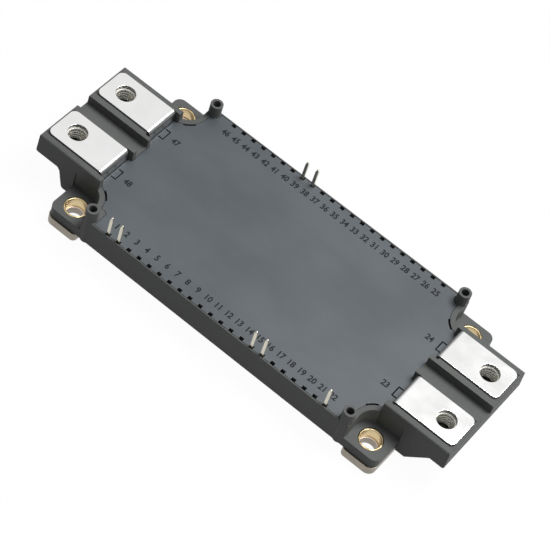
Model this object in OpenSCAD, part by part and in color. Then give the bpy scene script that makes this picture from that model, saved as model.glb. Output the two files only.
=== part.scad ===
// Half-bridge IGBT power module in a low flat case, 152 x 62 x 17 mm without its pins.
// Millimetres. +X is the output end, +Z is up, and the origin is the middle of the
// mounting face.

/* [Base plate] */
// Length of the base plate
plate_len = 122; // [114:0.5:132]
// Width of the base plate across its four corner lugs
plate_wid = 62; // [59:0.5:66]
// Thickness of the base plate
plate_t = 3; // [2.6:0.1:3.4]
// How far the long edges are set back between the lugs
waist_inset = 2.5; // [1.5:0.1:3]
// Radius of the outer corners
plate_corner_r = 2.5; // [1:0.1:4]
// How far a lug runs inward from its mounting hole
lug_len = 5.2; // [4.5:0.1:7]
// Radius of a lug's inner corner
lug_corner_r = 1.5; // [0.5:0.1:1.5]
// Distance of a mounting hole from the plate's end and from its side
mount_edge = 6; // [5.6:0.1:6.4]
// Mounting hole in the base plate, for an M5 screw
mount_hole_d = 5.5; // [5.2:0.1:5.9]

/* [Bushes] */
// Outer diameter of the bush in each corner tab
bush_d = 7.6; // [7.2:0.1:8]
// Inner diameter of the bush
bush_bore_d = 6.2; // [6:0.05:6.5]
// Bevel at the mouth of the bush
bush_bevel = 0.2; // [0.1:0.05:0.3]

/* [Case] */
// Set-back of the case's long walls and corner tabs from the edge of the lugs
case_inset = 0.6; // [0.4:0.1:1.2]
// Height of the lid's top above the mounting face
case_h = 12.6; // [12.2:0.1:13.4]
// Height of the corner tabs' top
tab_h = 6.6; // [5.8:0.05:7]
// Clear radius round each mounting hole for a screw head
screw_clear_r = 5.9; // [5.5:0.1:6.1]
// Wall between a screw clearance and the cavity
pocket_wall = 1.5; // [1.2:0.1:1.6]
// Width of the rim that shows between a screw clearance and the lid
pocket_rim = 1.75; // [1.6:0.05:2]
// Width of the shelf that carries the lid's corners
shelf_w = 1.2; // [0.8:0.1:1.4]
// Radius of the cavity's inner corners
inner_corner_r = 1; // [0.5:0.1:1.5]
// Thickness of the long walls above the inner ledge
wall_t = 2.8; // [2.4:0.1:3.2]
// Room between the lid and the inner ledge that carries the bonding feet
ledge_room = 4; // [3.8:0.1:4.4]
// Width of the inner ledge along each long wall
ledge_w = 2.3; // [2:0.1:2.6]
// Gap between the end walls and the base plate
plate_gap = 0.1; // [0.05:0.05:0.3]

/* [Terminal blocks] */
// How far the terminal blocks reach past the base plate
block_reach = 15; // [14:0.5:17]
// Distance of the M6 screws from the block's outer end
screw_edge = 7.5; // [7.2:0.1:8]
// Pitch of the M6 screws across one end
screw_pitch_y = 22; // [21.8:0.1:22.4]
// How far the block's rim lies below the terminals' top face
rim_drop = 0.65; // [0.4:0.05:0.8]
// Width of the rim on each side of a terminal
rim_w = 2.25; // [2:0.05:2.6]
// Width of the rim past a terminal's outer end
end_rim_w = 1; // [0.8:0.1:1.2]
// Thickness of the block's floor under the hole for a screw's tip
block_floor_t = 0.9; // [0.6:0.1:1.4]
// Clearance of the end wall's foot above the mounting face
foot_z = 2; // [1.4:0.1:2.6]
// Thickness of the end wall outside the base plate
end_wall_t = 3.9; // [3:0.1:5]
// How far the brace reaches out on the supply end
brace_run_supply = 2.6; // [1.5:0.1:6]
// How far the brace reaches out on the output end
brace_run_output = 6.1; // [1.5:0.1:7]
// Bevel at the foot of the end wall
foot_bevel = 0.6; // [0.3:0.05:1]
// Bevel where the brace meets the overhang
brace_bevel = 0.9; // [0.4:0.1:1.2]
// Bevel at the overhang's outer lower edge
overhang_bevel = 0.5; // [0.2:0.1:1]
// Slope of the moulded sides per millimetre of height
draft = 0.03; // [0.01:0.005:0.04]
// How far below the case's top the recess beside a screw clearance ends
recess_drop = 0.3; // [0.2:0.1:1]
// Height of the creepage channel's floor above the lid
channel_step = 0.6; // [0.3:0.1:1]
// Bevel along the block's top edges
block_bevel = 0.3; // [0.1:0.05:0.5]
// How far the block's cheeks reach inward past a terminal
cheek_reach = 1.3; // [1:0.1:2]
// Length of the relief notch beside a terminal's bend
relief_len = 1; // [0.6:0.1:1.6]
// Width of the relief on the outer side
relief_out_w = 0.4; // [0.3:0.05:0.8]
// Width of the relief on the channel side
relief_in_w = 0.85; // [0.4:0.05:1.2]

/* [Power terminals] */
// Height of the terminals' top face
terminal_h = 17; // [16.8:0.1:17.4]
// Thickness of the terminal sheet
terminal_t = 1; // [0.8:0.05:1.1]
// Width of a terminal
terminal_wid = 12.2; // [11.4:0.1:12.4]
// Distance of the upright leg's inner face from the base plate's end
leg_inset = 7.2; // [6.9:0.1:7.6]
// Inner radius of the bends
bend_r = 0.4; // [0.3:0.05:0.6]
// Radius of the terminal's outer corners
terminal_corner_r = 2; // [1:0.1:3]
// Clearance hole for the M6 screw
terminal_hole_d = 6.2; // [6.1:0.1:6.8]
// Length of the bonding foot inside the case
foot_len = 4.6; // [4:0.1:5]
// Gap round the terminal in its seat
seat_gap = 0.1; // [0.05:0.05:0.2]

/* [Terminal nuts] */
// Width across the flats of the M6 nut
nut_af = 10; // [9.8:0.1:10.4]
// Height of the nut
nut_h = 5; // [4.4:0.1:5.2]
// Bore of the nut, at the thread's core
nut_bore_d = 5; // [4.9:0.05:5.2]
// Chamfer at each mouth of the bore
nut_chamfer = 0.5; // [0.3:0.05:0.6]
// Gap between the nut and its pocket, on each flat
nut_gap = 0.1; // [0.05:0.05:0.2]
// Gap between the nut and the terminal above it
nut_drop = 0.3; // [0.1:0.05:0.5]
// Depth of the screw-tip hole under the nut
tip_depth = 0.7; // [0.3:0.1:0.8]

/* [Board posts] */
// Distance of a circuit board post from the mounting hole, along the case
post_reach = 7.75; // [7.4:0.05:8]
// Distance of a post's axis from the outside of the case's long wall
post_inset = 1.65; // [1.5:0.05:2]
// Outer diameter of a post
post_d = 4; // [3.6:0.1:4.4]
// Hole for a self-tapping screw
post_hole_d = 2.4; // [2.2:0.1:2.6]
// Depth of that hole
post_hole_depth = 8; // [6:0.5:9]

/* [Lid] */
// Thickness of the lid
lid_t = 1.6; // [1.2:0.1:2]
// Gap between the lid and the case
lid_gap = 0.1; // [0.05:0.05:0.15]
// Thickness of the case lip outside the lid
lip_t = 0.4; // [0.3:0.05:0.5]
// Gap between the lid and a board post
post_gap = 0.25; // [0.2:0.05:0.4]
// Reach of the index notch at the front left, from that post's centre
index_reach = 4.85; // [4:0.05:5.5]
// Radius of the index notch's corner
index_r = 1; // [0.5:0.1:1.5]
// How far the lid's tongue reaches past the terminals' legs into the channel
tongue_reach = 7.2; // [5:0.2:9]
// Depth of the vent slot in each corner of the lid
vent_depth = 0.5; // [0.3:0.05:0.7]
// Half angle of that slot
vent_half_angle = 14; // [8:1:20]
// Length of a latch tongue beside a terminal
latch_len = 3.3; // [2.5:0.1:4]
// Reach of a latch tongue
latch_reach = 1.9; // [1.4:0.1:2.4]
// Width of the slot that frees a latch tongue
latch_slot = 0.35; // [0.25:0.05:0.5]

/* [Control pins] */
// Pitch of the pin positions
pin_pitch = 3.81; // [3.7:0.01:3.9]
// Number of pin positions along each long side
pin_places = 22; // [22:1:23]
// Distance of the pins from the outside of the case's long wall
pin_inset = 1.05; // [1:0.05:1.1]
// Width of a pin along the case
pin_w = 1; // [0.8:0.05:1.2]
// Thickness of a pin across the case
pin_t = 0.8; // [0.6:0.05:0.8]
// Height of the pin tips
pin_top = 20.4; // [19.5:0.1:22]
// Length of the tapered tip
pin_taper = 1.2; // [0.8:0.1:2]
// Edge length of the square flat at the tip
pin_tip = 0.4; // [0.2:0.05:0.5]
// Thickness of a pin's bonding foot
pin_foot_t = 0.5; // [0.4:0.05:0.6]
// Length of a pin's bonding foot on the ledge
pin_foot_len = 1.9; // [1.5:0.1:2]
// Width of a pin slot
slot_w = 1.4; // [1.3:0.05:1.6]
// Length of a pin slot across the case
slot_l = 1.2; // [1.1:0.05:1.3]
// Depth of a pin slot below the lid
slot_depth = 2.5; // [1.5:0.1:3]

/* [Substrates] */
// Gap between the outer substrates and the end of the well
substrate_end_gap = 1.3; // [1:0.1:2]
// Gap between a substrate and the long side of the well
substrate_side_gap = 4.3; // [4.1:0.1:4.8]
// Gap between neighbouring substrates
substrate_gap = 1; // [0.6:0.1:1.6]
// Thickness of the copper on both faces
copper_t = 0.3; // [0.2:0.05:0.4]
// Thickness of the ceramic
ceramic_t = 0.4; // [0.3:0.02:0.7]
// Bare ceramic border
ceramic_margin = 0.4; // [0.3:0.05:0.8]
// Gap between neighbouring tracks
track_gap = 0.6; // [0.4:0.05:0.8]
// Width of the narrow gate and signal tracks
signal_track_w = 1.2; // [1:0.05:1.4]
// Width of the output track that carries the lower chips
output_track_w = 14.8; // [14.4:0.1:15]

/* [Chips] */
// Edge length of a transistor chip
igbt_edge = 10.4; // [9:0.1:10.6]
// Edge length of a diode chip
diode_edge = 8.6; // [7:0.1:9]
// Thickness of the chips
chip_t = 0.2; // [0.15:0.01:0.3]
// Distance between the centres of a transistor and its diode
chip_pitch = 13.6; // [13:0.1:14.5]
// Distance of the lower chips from the edge of their track
chip_margin = 0.2; // [0.1:0.05:0.4]
// Distance of a gate pad from the edges of its chip
gate_margin = 0.8; // [0.5:0.1:1.2]
// Length, width and height of the thermistor
thermistor_size = [2, 1.2, 0.6];

/* [Bond wires] */
// Diameter of a power bond wire
wire_d = 0.4; // [0.3:0.05:0.5]
// Diameter of a gate or signal bond wire
thin_wire_d = 0.2; // [0.15:0.01:0.25]
// Pitch of neighbouring power bond wires
wire_pitch = 1.8; // [1.4:0.1:2]
// Distance of a bond from the end of its track or foot
bond_margin = 1; // [0.8:0.1:1.4]
// Distance of a chip's wires from the edge of the track that they land on
landing = 1.6; // [1.2:0.1:2]

/* [Hidden] */
$fn = 48;
CUT = 0.5; // how far a cutting tool runs past the face that it opens

// Places in plan
case_half_len = plate_len / 2 + block_reach;
case_half_wid = plate_wid / 2 - case_inset;
mount_x = plate_len / 2 - mount_edge;
mount_y = plate_wid / 2 - mount_edge;
screw_x = case_half_len - screw_edge;
screw_y = screw_pitch_y / 2;
post_x = mount_x - post_reach;
post_y = case_half_wid - post_inset;
leg_x = plate_len / 2 - leg_inset;
waist_wid = plate_wid - 2 * waist_inset;
notch_x = mount_x - screw_clear_r;
notch_y = mount_y - screw_clear_r;
end_face_x = plate_len / 2 + plate_gap;

// Terminal blocks
block_half_wid = screw_y + terminal_wid / 2 + rim_w;
channel_half_wid = screw_y - terminal_wid / 2 - rim_w;
cheek_x = leg_x - cheek_reach;
leg_back_x = leg_x + terminal_t;
relief_x = leg_back_x + seat_gap + relief_len;
terminal_end_x = case_half_len - end_rim_w;
terminal_in_y = screw_y - terminal_wid / 2;
terminal_out_y = screw_y + terminal_wid / 2;
relief_in_y = terminal_in_y - relief_in_w;
relief_out_y = terminal_out_y + relief_out_w;
seat_z = terminal_h - terminal_t;
block_h = terminal_h - rim_drop;
channel_floor_z = case_h + channel_step;

// Nuts, and the underside of the overhang that carries them
nut_top = seat_z - nut_drop;
nut_bottom = nut_top - nut_h;
nut_corner_d = nut_af / cos(30);
overhang_z = nut_bottom - nut_gap - tip_depth - block_floor_t;

// Lid and cavity
shelf_z = case_h - lid_t;
ledge_h = shelf_z - ledge_room;
lid_half_wid = case_half_wid - lip_t - lid_gap;
tongue_x = leg_x + tongue_reach;
cavity_half_len = notch_x;
upper_half_wid = case_half_wid - wall_t;
cavity_half_wid = upper_half_wid - ledge_w;
lid_corner_r = screw_clear_r + pocket_rim;
lid_post_r = post_d / 2 + post_gap;

// Pins: number, then the side of the case
FRONT_PINS = [1, 2, 15, 16, 22];
BACK_PINS = [38, 39];
FIRST_BACK_PIN = 25;
pin_y = case_half_wid - pin_inset;
pin_foot_end_y = upper_half_wid - pin_foot_len;
slot_y = lid_half_wid + lid_gap - slot_l / 2;

// Three substrates side by side in the well, and the layers of each
substrate_wid = 2 * (cavity_half_wid - substrate_side_gap);
substrate_len = (2 * (cavity_half_len - substrate_end_gap) - 2 * substrate_gap) / 3;
substrate_pitch = substrate_len + substrate_gap;
ceramic_z = plate_t + copper_t;
track_z = ceramic_z + ceramic_t;
chip_z = track_z + copper_t;
bond_z = chip_z + chip_t;
track_edge_y = substrate_wid / 2 - ceramic_margin;
output_half_w = output_track_w / 2;
plus_in_y = output_half_w + track_gap;
plus_out_y = track_edge_y - signal_track_w - track_gap;
gate_low_y = output_half_w + track_gap + signal_track_w / 2;
minus_in_y = gate_low_y + signal_track_w / 2 + track_gap;
edge_track_y = track_edge_y - signal_track_w / 2;
high_chip_y = (plus_in_y + plus_out_y) / 2;
low_chip_y = -output_half_w + igbt_edge / 2 + chip_margin;
SUBSTRATES = ["left", "middle", "right"];
thermistor_x = (pin_x(1) + pin_x(2)) / 2;

BUSHES = ["bush_front_left", "bush_front_right", "bush_back_left", "bush_back_right"];
NUTS = ["nut_front_left", "nut_front_right", "nut_back_left", "nut_back_right"];
TERMINALS = ["terminal_front_left", "terminal_front_right", "terminal_back_left",
    "terminal_back_right"];
// Side of each of those four, in X and in Y
CORNERS = [[-1, -1], [1, -1], [-1, 1], [1, 1]];
PINS = concat(FRONT_PINS, BACK_PINS);
function pin_name(n) = str("control_pin_", n < 10 ? "0" : "", n);
PIN_NODES = [for (n = PINS) pin_name(n)];
BACK_COPPER = [for (s = SUBSTRATES) str("back_copper_", s)];
CERAMICS = [for (s = SUBSTRATES) str("ceramic_", s)];
TRACKS = [for (s = SUBSTRATES) str("copper_tracks_", s)];
HIGH_IGBTS = [for (s = SUBSTRATES) str("igbt_high_", s)];
LOW_IGBTS = [for (s = SUBSTRATES) str("igbt_low_", s)];
HIGH_DIODES = [for (s = SUBSTRATES) str("diode_high_", s)];
LOW_DIODES = [for (s = SUBSTRATES) str("diode_low_", s)];
CHIP_WIRES = [for (s = SUBSTRATES) str("bond_wires_", s)];

// ---- helpers ----

// Copies the children to the four quarters; the children are drawn at +X, +Y
module quarters() {
    for (c = CORNERS) mirror([c[0] < 0 ? 1 : 0, 0, 0]) mirror([0, c[1] < 0 ? 1 : 0, 0]) children();
}

// One corner only, from a child drawn at +X, +Y
module corner(c) {
    mirror([c[0] < 0 ? 1 : 0, 0, 0]) mirror([0, c[1] < 0 ? 1 : 0, 0]) children();
}

// Rectangle from its low corner to its high corner
module span(low, high) {
    translate(low) square(high - low);
}

// Box from its low corner to its high corner
module block(low, high) {
    translate(low) cube(high - low);
}

// Extrudes an outline drawn in X and Z along Y, from y0 to y1
module along_y(y0, y1) {
    translate([0, y1, 0]) rotate([90, 0, 0]) linear_extrude(y1 - y0) children();
}

// Extrudes an outline drawn in Y and Z along X, from x0 to x1
module along_x(x0, x1) {
    translate([x0, 0, 0]) rotate([90, 0, 90]) linear_extrude(x1 - x0) children();
}

// Rectangle whose corner at the high end is rounded
module one_round_corner(low, high, r) {
    span(low, [high[0] - r, high[1]]);
    span(low, [high[0], high[1] - r]);
    translate(high - [r, r]) circle(r);
}

// Rectangle with all four corners rounded
module round_rect(low, high, r) {
    span(low + [r, 0], high - [r, 0]);
    span(low + [0, r], high - [0, r]);
    for (x = [low[0] + r, high[0] - r], y = [low[1] + r, high[1] - r]) translate([x, y]) circle(r);
}

// X of a pin position; the front row counts up along +X and the back row counts down
function pin_x(n) = n < FIRST_BACK_PIN
    ? (n - (pin_places + 1) / 2) * pin_pitch
    : ((pin_places - 1) / 2 - (n - FIRST_BACK_PIN)) * pin_pitch;
function pin_side(n) = n < FIRST_BACK_PIN ? -1 : 1;

// ---- base plate ----

// One of the lugs that carry the mounting holes, with a rounded corner on each side
module lug_outline() {
    one_round_corner([mount_x, 0], [plate_len, plate_wid] / 2, plate_corner_r);
    translate([mount_x, 0]) mirror([1, 0]) one_round_corner([0, 0], [lug_len, plate_wid / 2], lug_corner_r);
}

module plate_outline() {
    difference() {
        union() {
            square([plate_len - 2 * plate_corner_r, waist_wid], center = true);
            quarters() lug_outline();
        }
        quarters() translate([mount_x, mount_y]) circle(d = mount_hole_d);
    }
}

module base_plate() {
    color([0.70, 0.66, 0.60]) linear_extrude(plate_t) plate_outline();
}

// ---- case ----

// A case corner at the distance r round a mounting hole: square, with a round inner end
module corner_outline(r) {
    far = [plate_len, plate_wid];
    translate([mount_x, mount_y]) circle(r);
    span([mount_x - r, mount_y], far);
    span([mount_x, mount_y - r], far);
}

module wall_outline() {
    difference() {
        square([2 * cheek_x, 2 * case_half_wid], center = true);
        quarters() corner_outline(screw_clear_r);
    }
}

module tab_outline() {
    one_round_corner([notch_x - pocket_wall, notch_y - pocket_wall],
        [plate_len / 2, case_half_wid], plate_corner_r);
}

// Side view of one terminal block: the end wall, its brace and the overhang
module block_side_view(brace_run) {
    top_x = case_half_len - draft * (block_h - overhang_z);
    wall_x = end_face_x + end_wall_t;
    brace_x = wall_x + brace_run;
    polygon([[cheek_x, plate_t], [end_face_x, plate_t], [end_face_x, foot_z],
        [wall_x - foot_bevel, foot_z], [wall_x, foot_z + foot_bevel],
        [brace_x - brace_bevel, overhang_z - brace_bevel], [brace_x, overhang_z],
        [case_half_len - overhang_bevel, overhang_z], [case_half_len, overhang_z + overhang_bevel],
        [top_x, block_h - block_bevel], [top_x - block_bevel, block_h], [cheek_x, block_h]]);
}

// End view of the pair of blocks: drafted sides with bevelled top edges
module block_end_view() {
    low = block_half_wid + draft * (block_h - foot_z);
    polygon([[-low, foot_z], [low, foot_z], [block_half_wid, block_h - block_bevel],
        [block_half_wid - block_bevel, block_h], [block_bevel - block_half_wid, block_h],
        [-block_half_wid, block_h - block_bevel]]);
}

module terminal_blocks() {
    for (s = [0, 1]) mirror([s, 0, 0]) intersection() {
        along_y(-case_half_wid, case_half_wid)
            block_side_view(s == 0 ? brace_run_output : brace_run_supply);
        along_x(0, case_half_len) block_end_view();
    }
}

// The rooms inside: the well over the substrates, the ledges and the lid's seat
module cavity() {
    // well
    translate([0, 0, plate_t - CUT]) linear_extrude(ledge_h - plate_t + 2 * CUT) difference() {
        round_rect([-cavity_half_len, -cavity_half_wid], [cavity_half_len, cavity_half_wid],
            inner_corner_r);
        quarters() corner_outline(screw_clear_r + pocket_wall);
    }
    // room over the ledges
    translate([0, 0, ledge_h]) linear_extrude(shelf_z - ledge_h + CUT) difference() {
        round_rect([-cavity_half_len - ledge_w / 2, -upper_half_wid],
            [cavity_half_len + ledge_w / 2, upper_half_wid], inner_corner_r);
        quarters() corner_outline(lid_corner_r + shelf_w);
        quarters() translate([post_x, post_y]) circle(lid_post_r + shelf_w);
        index_outline(-shelf_w);
    }
    // way for the wire from each pin's foot to the substrates
    for (n = PINS) translate([pin_x(n), 0, 0]) mirror([0, pin_side(n) < 0 ? 1 : 0, 0])
        block([-pin_w, edge_track_y, ledge_h], [pin_w, upper_half_wid, shelf_z]);
    // seat of the lid
    translate([0, 0, shelf_z]) linear_extrude(lid_t + CUT) lid_outline(lid_gap);
}

// Room round one terminal, drawn at +X, +Y
module terminal_room() {
    // shelf under the bonding foot, and the wall behind the leg
    block([cavity_half_len, relief_in_y, ledge_h], [leg_back_x + seat_gap, relief_out_y, terminal_h]);
    // reliefs beside the bend
    block([leg_x, relief_in_y, case_h], [relief_x, relief_out_y, seat_z]);
    // seat of the flat part
    block([leg_x, terminal_in_y - seat_gap, seat_z],
        [terminal_end_x + seat_gap, terminal_out_y + seat_gap, terminal_h]);
}

// Pillar that stays between the reliefs and carries the terminal's flat part; its inner
// top edge is bevelled to clear the bend
module terminal_shoulder() {
    near_x = leg_back_x + seat_gap;
    along_y(terminal_in_y, terminal_out_y)
        polygon([[near_x, case_h - CUT], [relief_x, case_h - CUT], [relief_x, seat_z],
            [leg_back_x + bend_r, seat_z], [near_x, seat_z - bend_r]]);
}

module nut_pocket() {
    translate([screw_x, screw_y, nut_bottom - nut_gap]) {
        cylinder(h = nut_h + nut_drop + 2 * nut_gap + CUT, d = nut_corner_d + 2 * nut_gap / cos(30),
            $fn = 6);
        translate([0, 0, -tip_depth]) cylinder(h = tip_depth + CUT, d = terminal_hole_d);
    }
}

// The channel between the blocks, which lengthens the path between the terminals
module channel() {
    for (s = [0, 1]) mirror([s, 0, 0])
        block([cheek_x - CUT, -channel_half_wid, channel_floor_z],
            [case_half_len + CUT, channel_half_wid, block_h + CUT]);
}

module pin_slots() {
    for (s = [-1, 1], i = [1:pin_places])
        translate([pin_x(i), s * slot_y, shelf_z - slot_depth])
            linear_extrude(slot_depth + CUT) square([slot_w, slot_l], center = true);
}

module case_frame() {
    color([0.25, 0.26, 0.27]) difference() {
        union() {
            translate([0, 0, plate_t]) linear_extrude(case_h - plate_t) wall_outline();
            translate([0, 0, plate_t]) linear_extrude(tab_h - plate_t) quarters() tab_outline();
            difference() {
                terminal_blocks();
                // the blocks are flush with the screw clearance where they pass it
                quarters() block([cheek_x - CUT, notch_y, foot_z - CUT],
                    [end_face_x, case_half_wid, case_h - recess_drop]);
            }
            quarters() translate([post_x, post_y, plate_t]) cylinder(h = terminal_h - plate_t, d = post_d);
        }
        cavity();
        channel();
        difference() {
            quarters() terminal_room();
            quarters() terminal_shoulder();
        }
        quarters() nut_pocket();
        quarters() translate([mount_x, mount_y, plate_t - CUT]) cylinder(h = tab_h, d = bush_d);
        quarters() translate([post_x, post_y, terminal_h - post_hole_depth])
            cylinder(h = post_hole_depth + CUT, d = post_hole_d);
        pin_slots();
        for (n = PINS) pin_solid(n);
    }
}

// ---- lid ----

// Outline of the lid grown by g on every side, without its slots
module lid_outline(g) {
    cheek_edge_x = cheek_x - lid_gap + g;
    tongue_half_wid = channel_half_wid - lid_gap + g;
    difference() {
        union() {
            square([2 * (leg_x - lid_gap + g), 2 * (lid_half_wid + g)], center = true);
            square([2 * (tongue_x + g), 2 * tongue_half_wid], center = true);
        }
        quarters() {
            corner_outline(lid_corner_r - g);
            translate([post_x, post_y]) circle(lid_post_r - g);
            // the block's cheeks on both sides of a terminal
            span([cheek_edge_x, tongue_half_wid], [case_half_len, relief_in_y + lid_gap - g]);
            span([cheek_edge_x, relief_out_y - lid_gap + g], [case_half_len, case_half_wid]);
        }
        index_outline(g);
    }
}

// The notch that tells the front left corner from the others, set back by g
module index_outline(g) {
    low = [post_x - lid_post_r, post_y - index_reach] + g * [1, 1];
    far = [plate_len, plate_wid];
    corner([-1, -1]) {
        span(low + [index_r, 0], far);
        span(low + [0, index_r], far);
        translate(low + [index_r, index_r]) circle(index_r);
    }
}

// Narrow arc that opens the lid's edge at a corner
module vent_slot() {
    r = lid_corner_r + vent_depth;
    translate([mount_x, mount_y]) intersection() {
        circle(r);
        rotate(225) polygon([[0, 0], 2 * r * [cos(vent_half_angle), sin(vent_half_angle)],
            2 * r * [cos(vent_half_angle), -sin(vent_half_angle)]]);
    }
}

// Three-sided slot that frees a latch tongue at the foot of a terminal
module latch_outline() {
    far_x = leg_x - lid_gap;
    difference() {
        span([far_x - latch_reach - latch_slot, screw_y - latch_len / 2 - latch_slot],
            [far_x - latch_slot, screw_y + latch_len / 2 + latch_slot]);
        span([far_x - latch_reach, screw_y - latch_len / 2], [far_x, screw_y + latch_len / 2]);
    }
}

module lid() {
    color([0.42, 0.43, 0.45]) translate([0, 0, shelf_z]) linear_extrude(lid_t) difference() {
        lid_outline(0);
        for (s = [-1, 1], i = [1:pin_places])
            translate([pin_x(i), s * (slot_y + CUT / 2)]) square([slot_w, slot_l + CUT], center = true);
        quarters() vent_slot();
        quarters() latch_outline();
    }
}

// ---- bushes, terminals and nuts ----

module bush(c) {
    r = bush_bore_d / 2;
    color([0.85, 0.72, 0.45]) corner(c) translate([mount_x, mount_y, plate_t]) rotate_extrude()
        polygon([[r, 0], [bush_d / 2, 0], [bush_d / 2, tab_h - plate_t],
            [r + bush_bevel, tab_h - plate_t], [r, tab_h - plate_t - bush_bevel]]);
}

// Quarter ring between an inner radius and the sheet's outer face, in the +X, +Z quarter
module bend_outline() {
    intersection() {
        difference() {
            circle(bend_r + terminal_t);
            circle(bend_r);
        }
        square(bend_r + terminal_t);
    }
}

// Side view of the bent part: the upper bend, the leg, the lower bend and the foot
module leg_outline() {
    r = bend_r + terminal_t;
    translate([leg_x + r, terminal_h - r]) mirror([1, 0]) bend_outline();
    span([leg_x, ledge_h + r], [leg_back_x, terminal_h - r]);
    translate([leg_back_x - r, ledge_h + r]) mirror([0, 1]) bend_outline();
    span([leg_back_x - foot_len, ledge_h], [leg_back_x - r, ledge_h + terminal_t]);
}

module power_terminal(c) {
    color([0.86, 0.86, 0.84]) corner(c) {
        translate([0, 0, seat_z]) linear_extrude(terminal_t) difference() {
            union() {
                span([leg_x + bend_r + terminal_t, terminal_in_y],
                    [terminal_end_x - terminal_corner_r, terminal_out_y]);
                round_rect([screw_x - terminal_hole_d, terminal_in_y],
                    [terminal_end_x, terminal_out_y], terminal_corner_r);
            }
            translate([screw_x, screw_y]) circle(d = terminal_hole_d);
        }
        along_y(terminal_in_y, terminal_out_y) leg_outline();
    }
}

// Half section of the envelope that chamfers the nut's corners and its bore
module nut_section() {
    r = nut_bore_d / 2;
    outer = nut_corner_d / 2;
    flat = nut_af / 2;
    slope = (outer - flat) * tan(30);
    polygon([[r, nut_chamfer], [r + nut_chamfer, 0], [flat, 0], [outer, slope],
        [outer, nut_h - slope], [flat, nut_h], [r + nut_chamfer, nut_h], [r, nut_h - nut_chamfer]]);
}

module terminal_nut(c) {
    color([0.75, 0.75, 0.72]) corner(c) translate([screw_x, screw_y, nut_bottom]) intersection() {
        cylinder(h = nut_h, d = nut_corner_d, $fn = 6);
        rotate_extrude() nut_section();
    }
}

// ---- control pins ----

// Outline of a blade w wide with a tapered tip, from the ledge up
module blade_outline(w) {
    polygon([[-w / 2, ledge_h], [w / 2, ledge_h], [w / 2, pin_top - pin_taper],
        [pin_tip / 2, pin_top], [-pin_tip / 2, pin_top], [-w / 2, pin_top - pin_taper]]);
}

// A flat pin with a foot that lies on the inner ledge
module pin_solid(n) {
    half_w = pin_w / 2;
    translate([pin_x(n), 0, 0]) mirror([0, pin_side(n) < 0 ? 1 : 0, 0]) {
        intersection() {
            along_y(pin_y - pin_t / 2, pin_y + pin_t / 2) blade_outline(pin_w);
            along_x(-half_w, half_w) translate([pin_y, 0]) blade_outline(pin_t);
        }
        block([-half_w, pin_foot_end_y, ledge_h], [half_w, pin_y, ledge_h + pin_foot_t]);
    }
}

module control_pin(n) {
    color([0.83, 0.80, 0.70]) pin_solid(n);
}

// ---- substrates, from the base plate up ----

function substrate_x(i) = (i - 1) * substrate_pitch;

module on_substrate(i, z) {
    translate([substrate_x(i), 0, z]) children();
}

module back_copper(i) {
    size = [substrate_len, substrate_wid] - 2 * ceramic_margin * [1, 1];
    color([0.80, 0.50, 0.35]) on_substrate(i, plate_t) linear_extrude(copper_t)
        square(size, center = true);
}

module ceramic(i) {
    color([0.93, 0.93, 0.90]) on_substrate(i, ceramic_z) linear_extrude(ceramic_t)
        square([substrate_len, substrate_wid], center = true);
}

// A track that runs the length of a substrate, between two distances from the axis
module track(y0, y1) {
    x = substrate_len / 2 - ceramic_margin;
    span([-x, y0], [x, y1]);
}

module copper_tracks(i) {
    color([0.82, 0.52, 0.36]) on_substrate(i, track_z) linear_extrude(copper_t) {
        track(track_edge_y - signal_track_w, track_edge_y);
        track(plus_in_y, plus_out_y);
        track(-output_half_w, output_half_w);
        track(-gate_low_y - signal_track_w / 2, signal_track_w / 2 - gate_low_y);
        track(-plus_out_y, -minus_in_y);
        // the front track is cut in two where the thermistor bridges it
        difference() {
            track(-track_edge_y, signal_track_w - track_edge_y);
            translate([thermistor_x - substrate_x(0), -edge_track_y])
                square([thermistor_size[0] / 2, 2 * signal_track_w], center = true);
        }
    }
}

module chip(i, x, y, edge) {
    color([0.55, 0.56, 0.60]) on_substrate(i, chip_z) translate([x, y, 0]) linear_extrude(chip_t)
        square(edge, center = true);
}

module thermistor() {
    color([0.30, 0.28, 0.25]) translate([thermistor_x, -edge_track_y, chip_z + thermistor_size[2] / 2])
        cube(thermistor_size, center = true);
}

// ---- bond wires ----

// A wire that rises from point a, loops over in a half circle and drops to point b
module bond_wire(a, b, d) {
    top = max(a[2], b[2]);
    run = norm([b[0] - a[0], b[1] - a[1]]);
    middle = (a + b) / 2;
    translate([middle[0], middle[1], top]) rotate(atan2(b[1] - a[1], b[0] - a[0])) {
        rotate([90, 0, 0]) rotate_extrude(angle = 180) translate([run / 2, 0]) circle(d = d, $fn = 16);
        if (top > a[2]) translate([-run / 2, 0, a[2] - top]) cylinder(h = top - a[2], d = d, $fn = 16);
        if (top > b[2]) translate([run / 2, 0, b[2] - top]) cylinder(h = top - b[2], d = d, $fn = 16);
    }
}

// Offsets of n wires laid side by side at the wire pitch
function row(n) = [for (k = [0:n - 1]) (k - (n - 1) / 2) * wire_pitch];

// The wires of one substrate: from each chip across to the next track
module chip_wires(i) {
    color([0.82, 0.82, 0.82]) on_substrate(i, 0) {
        for (chip = [[-chip_pitch / 2, 4], [chip_pitch / 2, 3]], o = row(chip[1])) {
            x = chip[0] + o;
            bond_wire([x, high_chip_y, bond_z], [x, output_half_w - landing, chip_z], wire_d);
            bond_wire([x, low_chip_y, bond_z], [x, -minus_in_y - landing, chip_z], wire_d);
        }
        gate_x = -chip_pitch / 2 - igbt_edge / 2 + gate_margin;
        gate_y = igbt_edge / 2 - gate_margin;
        bond_wire([gate_x, high_chip_y + gate_y, bond_z], [gate_x, edge_track_y, chip_z], thin_wire_d);
        bond_wire([gate_x, low_chip_y - gate_y, bond_z], [gate_x, -gate_low_y, chip_z], thin_wire_d);
    }
}

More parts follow.
